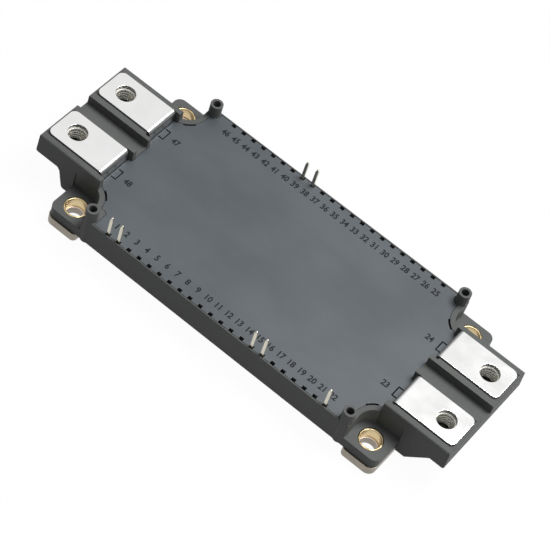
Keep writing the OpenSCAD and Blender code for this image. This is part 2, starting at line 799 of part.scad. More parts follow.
// Wires that join the long tracks of neighbouring substrates
module link_wires() {
    near = substrate_len / 2 - ceramic_margin - bond_margin;
    rows = [high_chip_y, output_half_w - 3 * wire_pitch, -(minus_in_y + plus_out_y) / 2];
    color([0.82, 0.82, 0.82]) for (s = [-1, 1], y = rows, o = row(3))
        bond_wire([s * near, y + o, chip_z], [s * (substrate_pitch - near), y + o, chip_z], wire_d);
}

// Wires from each terminal's foot down to its track
module terminal_wires() {
    foot_x = leg_back_x - foot_len + bond_margin / 2;
    land_x = substrate_pitch + substrate_len / 2 - ceramic_margin - bond_margin;
    foot_top = ledge_h + terminal_t;
    supply_y = [for (o = row(4)) (plus_in_y + min(plus_out_y, terminal_out_y)) / 2 + o];
    output_y = [for (o = row(2)) (terminal_in_y + output_half_w + o) / 2];
    color([0.82, 0.82, 0.82]) for (s = [-1, 1]) {
        for (y = supply_y) bond_wire([-foot_x, s * y, foot_top], [-land_x, s * y, chip_z], wire_d);
        for (y = output_y) bond_wire([foot_x, s * y, foot_top], [land_x, s * y, chip_z], wire_d);
    }
}

// Thin wires from the pins' feet to the edge tracks
module signal_wires() {
    foot_y = pin_foot_end_y + bond_margin / 2;
    reach = substrate_len / 2 - ceramic_margin - thin_wire_d / 2;
    color([0.82, 0.82, 0.82]) for (n = PINS) {
        middle = substrate_x(round(pin_x(n) / substrate_pitch) + 1);
        land_x = max(middle - reach, min(middle + reach, pin_x(n)));
        bond_wire([pin_x(n), pin_side(n) * foot_y, ledge_h + pin_foot_t],
            [land_x, pin_side(n) * edge_track_y, chip_z], thin_wire_d);
    }
}

// ---- nodes ----

base_plate();
case_frame();
lid();
for (k = [0:3]) {
    bush(CORNERS[k]);
    power_terminal(CORNERS[k]);
    terminal_nut(CORNERS[k]);
}
for (n = PINS) control_pin(n);
for (i = [0:2]) {
    back_copper(i);
    ceramic(i);
    copper_tracks(i);
    chip(i, -chip_pitch / 2, high_chip_y, igbt_edge);
    chip(i, -chip_pitch / 2, low_chip_y, igbt_edge);
    chip(i, chip_pitch / 2, high_chip_y, diode_edge);
    chip(i, chip_pitch / 2, low_chip_y, diode_edge);
    chip_wires(i);
}
link_wires();
terminal_wires();
signal_wires();
thermistor();
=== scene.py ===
# %% [markdown]
# # Dressing a power transistor module
#
# A half-bridge IGBT module is a flat plastic case on a metal base plate. Bent terminals with
# captive nuts stand on blocks at both ends, and flat pins rise along the long sides. The CAD
# model holds every piece at its true size. This lesson gives each piece its edges, its
# threads, its markings and its finish, and then sets up a small studio round it.

# %% The frame: every CAD piece, where it belongs
import math

import bmesh
import bpy
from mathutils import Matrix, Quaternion, Vector


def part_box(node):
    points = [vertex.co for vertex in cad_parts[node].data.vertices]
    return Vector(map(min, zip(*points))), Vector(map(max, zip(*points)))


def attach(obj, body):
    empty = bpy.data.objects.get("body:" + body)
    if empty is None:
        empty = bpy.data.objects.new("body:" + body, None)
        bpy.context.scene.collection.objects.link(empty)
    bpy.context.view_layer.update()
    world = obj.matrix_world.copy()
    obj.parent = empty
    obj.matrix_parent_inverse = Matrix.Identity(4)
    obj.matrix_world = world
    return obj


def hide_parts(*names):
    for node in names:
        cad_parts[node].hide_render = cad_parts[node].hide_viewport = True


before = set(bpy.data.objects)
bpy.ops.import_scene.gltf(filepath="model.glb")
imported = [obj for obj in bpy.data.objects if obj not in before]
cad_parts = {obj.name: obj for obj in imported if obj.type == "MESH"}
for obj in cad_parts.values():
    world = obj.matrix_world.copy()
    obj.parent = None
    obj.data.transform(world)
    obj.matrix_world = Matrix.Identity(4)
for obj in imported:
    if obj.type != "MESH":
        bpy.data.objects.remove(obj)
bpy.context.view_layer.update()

MM = 0.001
CORNERS = ("front_left", "front_right", "back_left", "back_right")
THIRDS = ("left", "middle", "right")
NODES = sorted(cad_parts)
PINS = [name for name in NODES if name.startswith("control_pin_")]
print(len(NODES), "pieces,", len(PINS), "of them pins")

# %% [markdown]
# ## Reading places off the frame
#
# No place is typed twice: the top of the lid, the axis of a nut or the middle of a bush comes
# from the box of its CAD piece. A piece keeps its object at the origin and its place in its
# mesh, so that a pattern on Object coordinates lies still.

# %% Places
LID_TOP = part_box("lid")[1].z


def middle(node):
    """Middle of a CAD piece."""
    low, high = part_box(node)
    return (low + high) / 2


def size(node):
    """Length, width and height of a CAD piece."""
    low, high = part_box(node)
    return high - low


print("lid top at", round(LID_TOP / MM, 2), "mm")
print("a nut is", [round(v / MM, 2) for v in size("nut_back_left")], "mm")

# %% [markdown]
# ## Sums on sockets
#
# Shader and geometry trees both do sums with Math nodes. A small class wraps an output socket
# and turns + - * / < and > into those nodes, so that a mask reads like a line of Python. Any
# other node comes from one method: its settings first, then its sockets.


# %% Values and trees
class Value:
    """An output socket that takes part in sums like a number."""

    def __init__(self, tree, socket):
        self.tree = tree
        self.socket = socket

    def __add__(self, other):
        return self.tree.sum("ADD", self, other)

    def __sub__(self, other):
        return self.tree.sum("SUBTRACT", self, other)

    def __rsub__(self, other):
        return self.tree.sum("SUBTRACT", other, self)

    def __mul__(self, other):
        return self.tree.sum("MULTIPLY", self, other)

    def __truediv__(self, other):
        return self.tree.sum("DIVIDE", self, other)

    def __rtruediv__(self, other):
        return self.tree.sum("DIVIDE", other, self)

    def __gt__(self, other):
        return self.tree.sum("GREATER_THAN", self, other)

    def __lt__(self, other):
        return self.tree.sum("LESS_THAN", self, other)

    __radd__ = __add__
    __rmul__ = __mul__


class Tree:
    """A node tree while it is being built."""

    def __init__(self, nodes_and_links):
        self.made = nodes_and_links

    def node(self, kind, settings=(), sockets=(), out=0):
        """Adds any node and returns one of its outputs, or all of them by name for out=None."""
        node = self.made.nodes.new(kind)
        for name, value in dict(settings).items():
            setattr(node, name, value)
        for name, value in dict(sockets).items():
            for one in value if isinstance(value, list) else [value]:
                if isinstance(one, Value):
                    self.made.links.new(one.socket, node.inputs[name])
                else:
                    node.inputs[name].default_value = one
        if out is None:
            return {socket.name: Value(self, socket) for socket in node.outputs if socket.name}
        return Value(self, node.outputs[out]) if node.outputs else None

    def sum(self, operation, a, b):
        return self.node("ShaderNodeMath", {"operation": operation}, {0: a, 1: b})

    def vector(self, operation, a, b):
        return self.node("ShaderNodeVectorMath", {"operation": operation}, {0: a, 1: b})

    def axes(self, vector):
        """The X, Y and Z of a vector, as three values."""
        return list(self.node("ShaderNodeSeparateXYZ", {}, {0: vector}, out=None).values())


# %% [markdown]
# ## Finishes
#
# Every finish is a Principled shader. What is the same all over a piece is set on the shader's
# own sockets. What changes over the surface, such as mould texture, flow marks or scratches, is
# noise on Object coordinates at its real size, and feeds the colour, the roughness and a bump.


# %% A finish under construction
class Finish(Tree):
    """A material with a Principled shader and helpers for grain, streaks and colour."""

    def __init__(self, name):
        self.material = bpy.data.materials.new(name)
        self.material.use_nodes = True
        super().__init__(self.material.node_tree)
        self.made.nodes.clear()
        self.place = self.node("ShaderNodeTexCoord", out="Object")

    def grain(self, grain_size, detail=2.0, stretch=(1, 1, 1), roughness=0.5):
        """Noise from 0 to 1 with features of that size in metres, drawn out by stretch."""
        scaled = self.node("ShaderNodeMapping", {}, {"Vector": self.place,
            "Scale": [Vector([1 / (grain_size * s) for s in stretch])]})
        return self.node("ShaderNodeTexNoise", {}, {"Vector": scaled, "Scale": 1.0, "Detail": detail,
            "Roughness": roughness})

    def between(self, value, low, high):
        """Spreads the middle of a noise over 0 to 1."""
        return self.node("ShaderNodeMapRange", {}, {"Value": value, "From Min": low, "From Max": high})

    def colour(self, factor, a, b):
        """A colour between two others, each of them three numbers or a socket."""
        # The Mix node keeps its colours in sockets 6 and 7, and their mixture in output 2.
        a, b = (c if isinstance(c, Value) else (*c, 1) for c in (a, b))
        return self.node("ShaderNodeMix", {"data_type": "RGBA"}, {0: factor, 6: a, 7: b}, out=2)

    def bump(self, height, distance, strength):
        """Relief for the Normal socket, of that depth in metres."""
        return self.node("ShaderNodeBump", {}, {"Height": height, "Distance": distance,
            "Strength": strength})

    def shade(self, **sockets):
        """Closes the material: underscores in a name stand for the spaces in the socket's."""
        named = {name.replace("_", " "): value for name, value in sockets.items()}
        shader = self.node("ShaderNodeBsdfPrincipled", {}, named)
        self.node("ShaderNodeOutputMaterial", {}, {"Surface": shader})
        return self.material


# %% [markdown]
# The case and the lid are moulded from the same kind of glass-filled plastic. A spark-eroded
# mould leaves a fine matt grain, and the fibres and the flow of the melt leave weak, broad
# clouds. The lid is a shade darker and bluer than the case and takes a soft sheen. The
# patterns are the same and only colour and gloss differ, so one function makes both.


# %% Moulded plastic
def moulded_plastic(name, dark, light, roughness, sheen):
    """Fine mould grain with weak clouds between two colours."""
    made = Finish(name)
    clouds = made.between(made.grain(16 * MM, detail=3, stretch=(1.6, 1, 1)), 0.35, 0.65)
    specks = made.between(made.grain(0.35 * MM, detail=1), 0.4, 0.7)
    texture = made.grain(0.16 * MM, detail=2, roughness=0.6)
    return made.shade(
        Base_Color=made.colour(clouds * 0.6 + specks * 0.4, dark, light),
        Roughness=roughness + (clouds - 0.5) * 0.06 + (texture - 0.5) * 0.12,
        Specular_IOR_Level=sheen,
        Normal=made.bump(texture, 0.012 * MM, 0.5),
    )


CASE_PLASTIC = moulded_plastic("case_plastic", (0.106, 0.111, 0.108), (0.139, 0.144, 0.140),
                               roughness=0.52, sheen=0.12)
LID_PLASTIC = moulded_plastic("lid_plastic", (0.068, 0.079, 0.089), (0.096, 0.110, 0.123),
                              roughness=0.39, sheen=0.45)
print("moulded:", CASE_PLASTIC.name, "and", LID_PLASTIC.name)

# %% [markdown]
# The terminals are copper sheet with bright plating. Rolling leaves long faint lines, handling
# leaves a few short scratches, and both change the gloss more than the colour. Below the bend the
# plating is painted darker and rougher, as painted shade where the leg mirrors the shaded lid, so
# the finish may also change at a height. Bushes, pins, nuts, copper, chips and wires are
# variations of the same idea with other colours, so they share the function.


# %% Plated metal
# Painted shade for the terminal legs: below the top they are painted darker.
PAINTED_SHADE_SHARE = 0.48
PAINTED_SHADE_RAMP = 0.25 * MM
UNSHADED_DEPTH = 0.30 * MM


def plated_metal(name, dark, light, roughness, lines=(1, 1, 1), cloud=6 * MM, painted_shade_below=None):
    """Plating with rolling lines along the axis that lines stretches, with painted shade below a
    height.
    """
    made = Finish(name)
    clouds = made.between(made.grain(cloud, detail=3), 0.3, 0.7)
    rolling = made.grain(0.12 * MM, detail=2, stretch=lines)
    scratches = made.between(made.grain(0.5 * MM, detail=4, stretch=(1, 6, 1)), 0.66, 0.74)
    plating = made.colour(clouds * 0.6 + rolling * 0.4, dark, light)
    gloss = roughness + (rolling - 0.5) * 0.10 + scratches * 0.12 + (clouds - 0.5) * 0.05
    # Painted shade: below this height the plating is painted darker and rougher.
    if painted_shade_below:
        unshaded = made.between(made.axes(made.place)[2], painted_shade_below, painted_shade_below + PAINTED_SHADE_RAMP)
        plating = made.colour(unshaded, [v * PAINTED_SHADE_SHARE for v in light], plating)
        gloss = gloss + (1 - unshaded) * 0.15
    return made.shade(
        Base_Color=plating,
        Metallic=1.0,
        Roughness=gloss,
        Normal=made.bump(rolling, 0.004 * MM, 0.4),
    )


# The terminal legs below the top get painted shade.
TERMINAL_PLATING = plated_metal("terminal_plating", (0.77, 0.77, 0.765), (0.83, 0.83, 0.825), 0.15,
                                lines=(30, 1, 1),
                                painted_shade_below=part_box("terminal_front_left")[1].z - UNSHADED_DEPTH)
BUSH_BRASS = plated_metal("bush_brass", (0.66, 0.51, 0.27), (0.76, 0.62, 0.37), 0.30,
                          lines=(1, 1, 8), cloud=2 * MM)
PIN_TIN = plated_metal("pin_tin", (0.52, 0.50, 0.42), (0.64, 0.61, 0.52), 0.22,
                       lines=(1, 1, 10), cloud=1.5 * MM)
NUT_STEEL = plated_metal("nut_steel", (0.66, 0.65, 0.60), (0.78, 0.77, 0.71), 0.52, cloud=2 * MM)
BARE_COPPER = plated_metal("bare_copper", (0.74, 0.38, 0.25), (0.88, 0.52, 0.38), 0.36,
                           lines=(20, 1, 1), cloud=4 * MM)
CHIP_METAL = plated_metal("chip_metal", (0.50, 0.51, 0.55), (0.62, 0.63, 0.67), 0.30, cloud=3 * MM)
WIRE_ALUMINIUM = plated_metal("wire_aluminium", (0.76, 0.76, 0.77), (0.86, 0.86, 0.87), 0.28,
                              lines=(8, 8, 1), cloud=1 * MM)
print(len(bpy.data.materials), "finishes; terminals bright for the top", UNSHADED_DEPTH / MM, "mm")

# %% [markdown]
# The base plate is nickel plated: darker, warmer and a little cloudy. The rims of its holes
# show a paler, redder ring, partly the redder bare metal and partly a painted highlight along the
# top edge. A piece of its own for each ring would be a film without thickness, so the ring comes
# from a sum on Object coordinates: the distance to the nearest of four holes. They lie alike in
# all four quarters of the plate, so the absolute values of X and Y stand for all of them.


# %% Base plate
def holed_plate(name, dark, light, edge, roughness, holes, reach, depth_of_edge):
    """Cloudy plating with a paler, redder ring at the top edge of round holes: bare metal with a
    painted highlight.
    """
    made = Finish(name)
    x, y, z = made.axes(made.place)
    across = made.sum("ABSOLUTE", x, 0.0) - holes.x
    along = made.sum("ABSOLUTE", y, 0.0) - holes.y
    near = made.sum("SQRT", across * across + along * along, 0.0) < reach
    # Painted highlight: a pale, redder ring round the top edge of each hole.
    bare_rim_highlight = near * (z > depth_of_edge)
    clouds = made.between(made.grain(6 * MM, detail=3), 0.3, 0.7)
    lines = made.grain(0.12 * MM, detail=2, stretch=(1, 1, 12))
    plated = made.colour(clouds * 0.6 + lines * 0.4, dark, light)
    return made.shade(
        Base_Color=made.colour(bare_rim_highlight, plated, edge),
        Metallic=1.0,
        Roughness=roughness + (lines - 0.5) * 0.10 + (clouds - 0.5) * 0.05,
        Normal=made.bump(lines, 0.004 * MM, 0.4),
    )


# The edge colour is the painted highlight on the hole rims, tinted like bare metal.
PLATE_NICKEL = holed_plate("plate_nickel", (0.24, 0.215, 0.18), (0.31, 0.28, 0.235),
                           edge=(0.78, 0.66, 0.58), roughness=0.36,
                           holes=middle("bush_back_right"), reach=3.3 * MM, depth_of_edge=2.75 * MM)
print("rings round", [round(v / MM, 2) for v in middle("bush_back_right").xy], "in each quarter")

# %% [markdown]
# Two inner pieces are ceramics: the white sheets that insulate the circuit, and the body of
# the temperature sensor. Sintered ceramic has a fine crystal grain and hardly any gloss.


# %% Ceramic
def ceramic(name, dark, light, roughness):
    """Fine crystals and weak, broad clouds from the kiln."""
    made = Finish(name)
    crystals = made.grain(0.08 * MM, detail=3)
    firing = made.between(made.grain(7 * MM), 0.35, 0.65)
    return made.shade(
        Base_Color=made.colour(crystals * 0.5 + firing * 0.5, dark, light),
        Roughness=roughness + (crystals - 0.5) * 0.15,
        Normal=made.bump(crystals, 0.004 * MM, 0.5),
    )


CERAMIC_WHITE = ceramic("ceramic_white", (0.84, 0.84, 0.80), (0.92, 0.92, 0.89), 0.55)
THERMISTOR_BODY = ceramic("thermistor_body", (0.20, 0.17, 0.14), (0.30, 0.27, 0.23), 0.50)
print("fired:", CERAMIC_WHITE.name, "and", THERMISTOR_BODY.name)

# %% [markdown]
# The numbers are burnt into the lid with a laser. The burnt plastic is darker and duller than
# the plastic round it, and a little uneven.

# %% Laser mark
burn = Finish("laser_mark")
char = burn.between(burn.grain(0.2 * MM, detail=3), 0.3, 0.7)
LASER_MARK = burn.shade(
    Base_Color=burn.colour(char, (0.008, 0.009, 0.010), (0.020, 0.023, 0.026)),
    Roughness=0.6 + char * 0.2,
    Specular_IOR_Level=0.2,
    Normal=burn.bump(char, 0.006 * MM, 0.6),
)
print(len(bpy.data.materials), "finishes")

# %% [markdown]
# ## Real edges
#
# No moulded or punched edge is perfectly sharp, and a thin bright line along each edge is what
# makes a piece look real. A CAD mesh is loose triangles, so a copy is merged and its flat faces
# are joined first. Then a Bevel modifier rounds every edge that turns by more than a facet of a
# curved face does. The finished copy replaces the CAD piece, which stays untouched.
#
# A Bevel node in the material would bend the light and leave the outline sharp, so the radius
# is cut into the mesh. The modifier makes every radius of a piece smaller as soon as one place
# leaves no room for it. So steps as thin as a hair are merged away first, and each edge beside
# a narrow step gets a bevel weight, which is its own share of the full radius.


# %% A clean copy of a CAD piece
HAIR_STEP = 0.04 * MM
FLAT_ANGLE = math.radians(0.3)


def copy_of(node, name):
    """A merged copy of a CAD piece, as a new object at the origin."""
    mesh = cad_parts[node].data.copy()
    mesh.name = name
    mesh.materials.clear()
    work = bmesh.new()
    work.from_mesh(mesh)
    bmesh.ops.remove_doubles(work, verts=work.verts, dist=HAIR_STEP)
    bmesh.ops.dissolve_limit(work, angle_limit=FLAT_ANGLE, verts=work.verts, edges=work.edges)
    work.to_mesh(mesh)
    work.free()
    if "custom_normal" in mesh.attributes:
        mesh.attributes.remove(mesh.attributes["custom_normal"])
    piece = bpy.data.objects.new(name, mesh)
    bpy.context.scene.collection.objects.link(piece)
    return piece


def settle(piece):
    """Turns what the modifiers make into a plain mesh and removes the modifiers."""
    bpy.context.view_layer.update()
    evaluated = piece.evaluated_get(bpy.context.evaluated_depsgraph_get())
    mesh = bpy.data.meshes.new_from_object(evaluated)
    mesh.name = piece.name
    piece.modifiers.clear()
    piece.data = mesh
    return piece


# %% Rounding its edges
FACET_ANGLE = math.radians(32)
STEP_SHARE = 0.45
SIDEWAYS = 0.5


def weigh_edges(mesh, width):
    """Gives each sharp edge its share of the width: less where a step beside it is narrow."""
    work = bmesh.new()
    work.from_mesh(mesh)
    share = work.edges.layers.float.new("bevel_weight_edge")
    for edge in work.edges:
        if len(edge.link_faces) != 2 or edge.calc_face_angle() < FACET_ANGLE:
            continue
        whole = edge.verts[1].co - edge.verts[0].co
        along = whole.normalized()
        room = width / STEP_SHARE
        for vert in edge.verts:
            others = [e.other_vert(vert).co - vert.co for e in vert.link_edges if e is not edge]
            steps = [step for step in others if step.normalized().cross(along).length > SIDEWAYS]
            # Where nothing goes on in line with the edge, its own length is a step as well.
            if len(steps) == len(others):
                steps.append(whole)
            room = min([room] + [step.length for step in steps])
        edge[share] = room * STEP_SHARE / width
    work.to_mesh(mesh)
    work.free()


def round_edges(piece, width):
    """Rounds the sharp edges of a piece; big flat faces keep their own normals."""
    weigh_edges(piece.data, width)
    bevel = piece.modifiers.new("edges", "BEVEL")
    bevel.limit_method = "WEIGHT"
    bevel.width = width
    bevel.segments = 2
    bevel.use_clamp_overlap = True
    settle(piece)
    piece.data.polygons.foreach_set("use_smooth", [True] * len(piece.data.polygons))
    piece.data.set_sharp_from_angle(angle=FACET_ANGLE)
    normals = piece.modifiers.new("normals", "WEIGHTED_NORMAL")
    normals.mode = "FACE_AREA"
    normals.weight = 100
    normals.keep_sharp = True
    return settle(piece)


def finished(piece, material, slot, *nodes):
    """Paints a piece, hangs it on the one body and lets it stand for its CAD pieces."""
    piece.data.materials.clear()
    piece.data.materials.append(material)
    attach(piece, "root")
    if nodes:
        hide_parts(*nodes)
    return piece


def rounded(node, name, width, material, slot):
    """The usual way: copy, round, paint, replace."""
    piece = round_edges(copy_of(node, name), width)
    finished(piece, material, slot, node)
    print(name, len(piece.data.polygons), "faces")
    return piece


# %% [markdown]
# ## Case, lid and base plate
#
# The case and the lid take the small radius of a good mould, about a tenth of a millimetre, so
# the hair-wide seam between them reads as a dark line with two soft shoulders. The base plate
# was punched and plated, and its edge is rounder. Their shapes are finished in the CAD model,
# down to slots and tongues, so nothing but the radius is added here.

# %% Case, lid and base plate
rounded("case_frame", "case_moulding", 0.14 * MM, CASE_PLASTIC, "case_plastic")
rounded("lid", "lid_moulding", 0.10 * MM, LID_PLASTIC, "lid_plastic")
rounded("base_plate", "base_plate_plated", 0.25 * MM, PLATE_NICKEL, "plate_nickel")

# %% [markdown]
# ## Terminals and pins
#
# The four power terminals are bent from thick sheet and the seven control pins are stamped
# from thin strip. Both come out of a press with slightly rounded edges, so they get the same
# treatment in a loop, with a smaller radius for the pins.

# %% Terminals and pins
for corner in CORNERS:
    rounded("terminal_" + corner, "terminal_plated_" + corner, 0.12 * MM, TERMINAL_PLATING,
            "terminal_plating")
for pin in PINS:
    rounded(pin, pin.replace("control_pin", "tinned_pin"), 0.08 * MM, PIN_TIN, "pin_tin")

# %% [markdown]
# ## Nuts with a real thread
#
# Looking down through a terminal's hole, the thread of the M6 nut shows as bright rings. The
# CAD nut has a plain bore at the thread's core. A bump could only hint at a thread, and a Screw
# modifier needs a profile drawn by hand. A Geometry Nodes tree does it from named sizes, so
# that it threads any nut: it widens the bore to the thread's full depth, and sweeps a ridge
# along a helix inside it. A profile with four corners makes the ridge: its outer half lies in
# the wall and its inner half is the thread.
#
# The helpers come first. They start a tree with named inputs, end it in real geometry, and
# run it on a piece with its inputs set by their identifiers.


# %% Starting, closing and applying a tree
def geometry_tree(name, inputs):
    """An empty geometry tree with named inputs; returns it and a Value for each input."""
    made = bpy.data.node_groups.new(name, "GeometryNodeTree")
    made.interface.new_socket("Geometry", in_out="OUTPUT", socket_type="NodeSocketGeometry")
    made.interface.new_socket("Geometry", in_out="INPUT", socket_type="NodeSocketGeometry")
    for label, kind in inputs:
        made.interface.new_socket(label, in_out="INPUT", socket_type="NodeSocket" + kind)
    tree = Tree(made)
    return tree, tree.node("NodeGroupInput", out=None)


def close_tree(tree, geometry, material):
    """Every tree ends in real geometry with its material."""
    real = tree.node("GeometryNodeRealizeInstances", {}, {"Geometry": geometry})
    painted = tree.node("GeometryNodeSetMaterial", {}, {"Geometry": real, "Material": material})
    tree.node("NodeGroupOutput", {}, {"Geometry": painted})


def apply_tree(piece, tree, **values):
    """Runs a tree on a piece with values by name, and keeps the result as its mesh."""
    modifier = piece.modifiers.new(tree.made.name, "NODES")
    modifier.node_group = tree.made
    for socket in tree.made.interface.items_tree:
        value = values.get(socket.name.replace(" ", "_"))
        if value is not None:
            modifier[socket.identifier] = value
    return settle(piece)


# %% [markdown]
# Two steps serve the nut's tree and the bush's tree alike. The first widens a bore or draws a
# skin in, by moving the points of one wall to a new radius. The second lifts what was made
# round the origin to its place.


# %% Moving a wall and lifting into place
def moved_out(tree, geometry, centre, near, far, goal):
    """Moves the points whose distance from an upright axis is from near to far out to goal."""
    position = tree.node("GeometryNodeInputPosition")
    flat = tree.vector("MULTIPLY", tree.vector("SUBTRACT", position, centre), Vector((1, 1, 0)))
    distance = tree.node("ShaderNodeVectorMath", {"operation": "LENGTH"}, {0: flat}, out="Value")
    chosen = (distance > near) * (distance < far)
    push = tree.node("ShaderNodeVectorMath", {"operation": "SCALE"},
                     {0: flat, "Scale": goal / distance - 1.0})
    return tree.node("GeometryNodeSetPosition", {}, {"Geometry": geometry, "Selection": chosen,
        "Offset": push})


def raised(tree, geometry, centre, height):
    """Puts geometry made round the origin at a centre, higher by that much."""
    lift = tree.node("ShaderNodeCombineXYZ", {}, {"Z": height})
    return tree.node("GeometryNodeTransform", {}, {"Geometry": geometry,
        "Translation": tree.vector("ADD", centre, lift)})


# %% [markdown]
# The ridge would end in a blunt step at both ends of the nut. A real thread runs out: the ridge
# gets lower over the last few millimetres of its path. The distance to the nearer end of the
# path scales the outline. A ring of the same outline stands at each mouth of the bore, where
# the first and the last turn fade.

# %% The bore and its ridge
BORE_MARGIN = 1.05
STEPS_PER_TURN = 40
TURN = 6.28  # Radians in a turn, near enough for where the ridge begins to fade.
FADE_LENGTH = 6 * MM
END_SHARE = 0.25

thread, given = geometry_tree("threaded_bore", [("Centre", "Vector"), ("Core Radius", "Float"),
    ("Thread Depth", "Float"), ("Pitch", "Float"), ("Length", "Float")])
root_radius = given["Core Radius"] + given["Thread Depth"]
turns = given["Length"] / given["Pitch"]
wide = moved_out(thread, given["Geometry"], given["Centre"], 0.0,
                 given["Core Radius"] * BORE_MARGIN, root_radius)
helix = thread.node("GeometryNodeCurveSpiral", {}, {"Resolution": STEPS_PER_TURN,
    "Rotations": turns, "Start Radius": root_radius, "End Radius": root_radius,
    "Height": given["Length"]})
upright = thread.node("GeometryNodeSetCurveNormal", {"mode": "Z_UP"}, {"Curve": helix})
ridge_outline = thread.node("GeometryNodeCurvePrimitiveCircle", {}, {"Resolution": 4,
    "Radius": given["Thread Depth"]})
along = thread.node("GeometryNodeSplineParameter", out="Length")
run_out = thread.sum("MINIMUM", along, turns * TURN * root_radius - along)
fade = thread.sum("MINIMUM", 1.0, run_out / FADE_LENGTH + END_SHARE)
ridge = thread.node("GeometryNodeCurveToMesh", {}, {"Curve": upright,
    "Profile Curve": ridge_outline, "Scale": fade, "Fill Caps": True})
print("ridge fades over", FADE_LENGTH / MM, "mm at both ends")

# %% The mouths of the bore
MOUTH_STEPS = 48
LOWER_END, UPPER_END = -0.5, 0.5

parts = [wide, raised(thread, ridge, given["Centre"], given["Length"] * LOWER_END)]
for end in (UPPER_END, LOWER_END):
    mouth = thread.node("GeometryNodeCurvePrimitiveCircle", {}, {"Resolution": MOUTH_STEPS,
        "Radius": root_radius})
    lead_in = thread.node("GeometryNodeCurveToMesh", {}, {"Curve": mouth,
        "Profile Curve": ridge_outline})
    parts.append(raised(thread, lead_in, given["Centre"], given["Length"] * end))
close_tree(thread, thread.node("GeometryNodeJoinGeometry", {}, {"Geometry": parts}), NUT_STEEL)
print("thread tree with", len(thread.made.nodes), "nodes")

# %% [markdown]
# The thread is M6: a pitch of one millimetre on a core of five. The nuts are five millimetres
# high, and the thread stops short of both faces.

# %% Threading the nuts
CORE_RADIUS = 2.5 * MM
THREAD_DEPTH = 0.5 * MM
PITCH = 1.0 * MM
THREAD_LENGTH = 4.0 * MM

for corner in CORNERS:
    nut = round_edges(copy_of("nut_" + corner, "threaded_nut_" + corner), 0.1 * MM)
    apply_tree(nut, thread, Centre=middle("nut_" + corner), Core_Radius=CORE_RADIUS,
               Thread_Depth=THREAD_DEPTH, Pitch=PITCH, Length=THREAD_LENGTH)
    finished(nut, NUT_STEEL, "nut_steel", "nut_" + corner)
    print(nut.name, len(nut.data.polygons), "faces")

# %% [markdown]
# ## Knurled bushes
#
# The bush in each corner tab is pressed into the plastic. A straight knurl round its middle
# keeps it from turning, and a plain collar at each end leads it in, so from above only a
# smooth ring shows. An array round a circle would do, but a tree keeps the count of the teeth
# and their depth as named inputs. It draws the bush's skin in a little and stands one tooth
# after another round it. Each tooth is a small block that reaches into the skin.

# %% The knurl as a geometry tree
SKIN_FROM = 0.95
FAR_AWAY = 1.0
TOOTH_CENTRE = 0.4
TOOTH_THICKNESS = 1.15

knurl, given = geometry_tree("knurled_skin", [("Centre", "Vector"), ("Outer Radius", "Float"),
    ("Tooth Depth", "Float"), ("Teeth", "Int"), ("Height", "Float")])
skin_radius = given["Outer Radius"] - given["Tooth Depth"]
core = moved_out(knurl, given["Geometry"], given["Centre"], given["Outer Radius"] * SKIN_FROM,
                 FAR_AWAY, skin_radius)
ring = knurl.node("GeometryNodeMeshCircle", {}, {"Vertices": given["Teeth"],
    "Radius": skin_radius + given["Tooth Depth"] * TOOTH_CENTRE})
tooth_width = given["Outer Radius"] * math.pi / given["Teeth"]
tooth_size = knurl.node("ShaderNodeCombineXYZ", {}, {"X": given["Tooth Depth"] * TOOTH_THICKNESS,
    "Y": tooth_width, "Z": given["Height"]})
tooth = knurl.node("GeometryNodeMeshCube", {}, {"Size": tooth_size})
outward = knurl.node("FunctionNodeAlignRotationToVector", {"axis": "X"},
                     {"Vector": knurl.node("GeometryNodeInputPosition")})
teeth = knurl.node("GeometryNodeInstanceOnPoints", {}, {"Points": ring, "Instance": tooth,
    "Rotation": outward})
standing = knurl.node("GeometryNodeTransform", {}, {"Geometry": teeth,
    "Translation": given["Centre"]})
joined = knurl.node("GeometryNodeJoinGeometry", {}, {"Geometry": [core, standing]})
close_tree(knurl, joined, BUSH_BRASS)
print("knurl tree with", len(knurl.made.nodes), "nodes")

# %% Knurling the bushes
TOOTH_DEPTH = 0.08 * MM
TEETH = 36
COLLAR = 0.5 * MM

for corner in CORNERS:
    bush = round_edges(copy_of("bush_" + corner, "knurled_bush_" + corner), 0.08 * MM)
    whole = size("bush_" + corner)
    apply_tree(bush, knurl, Centre=middle("bush_" + corner), Outer_Radius=whole.x / 2,
               Tooth_Depth=TOOTH_DEPTH, Teeth=TEETH, Height=whole.z - 2 * COLLAR)
    finished(bush, BUSH_BRASS, "bush_brass", "bush_" + corner)
    print(bush.name, len(bush.data.polygons), "faces")

# %% [markdown]
# ## Numbers
#
# Each pin place has its number on the lid: 1 to 22 along the front and 25 to 46 back along the
# other side, and the four terminals are 23, 24, 47 and 48. All read along the case. An image
# would have to be drawn and loaded, while text gives the right curves at once and stays sharp
# from near by. It is turned into a mesh, scaled to its real height and only then put in its
# place. Each number is a thin closed slab, sunk into the lid by half of its thickness. A few
# faces of a filled curve can come out turned inwards, so the normals are worked out anew.

# %% The shapes and places of the numbers
PIN_PITCH = 3.81 * MM
PLACES = 22
LAST_PLACE = 46
DIGIT_HEIGHT = 2.25 * MM
DIGIT_WIDTH = 0.88
DIGIT_WEIGHT = 0.030
MARK_DEPTH = 0.012 * MM
MERGE_DISTANCE = 0.0005 * MM
ROW_Y = 25.5 * MM
TERMINAL_MARK = Vector((48.1, 11.1)) * MM


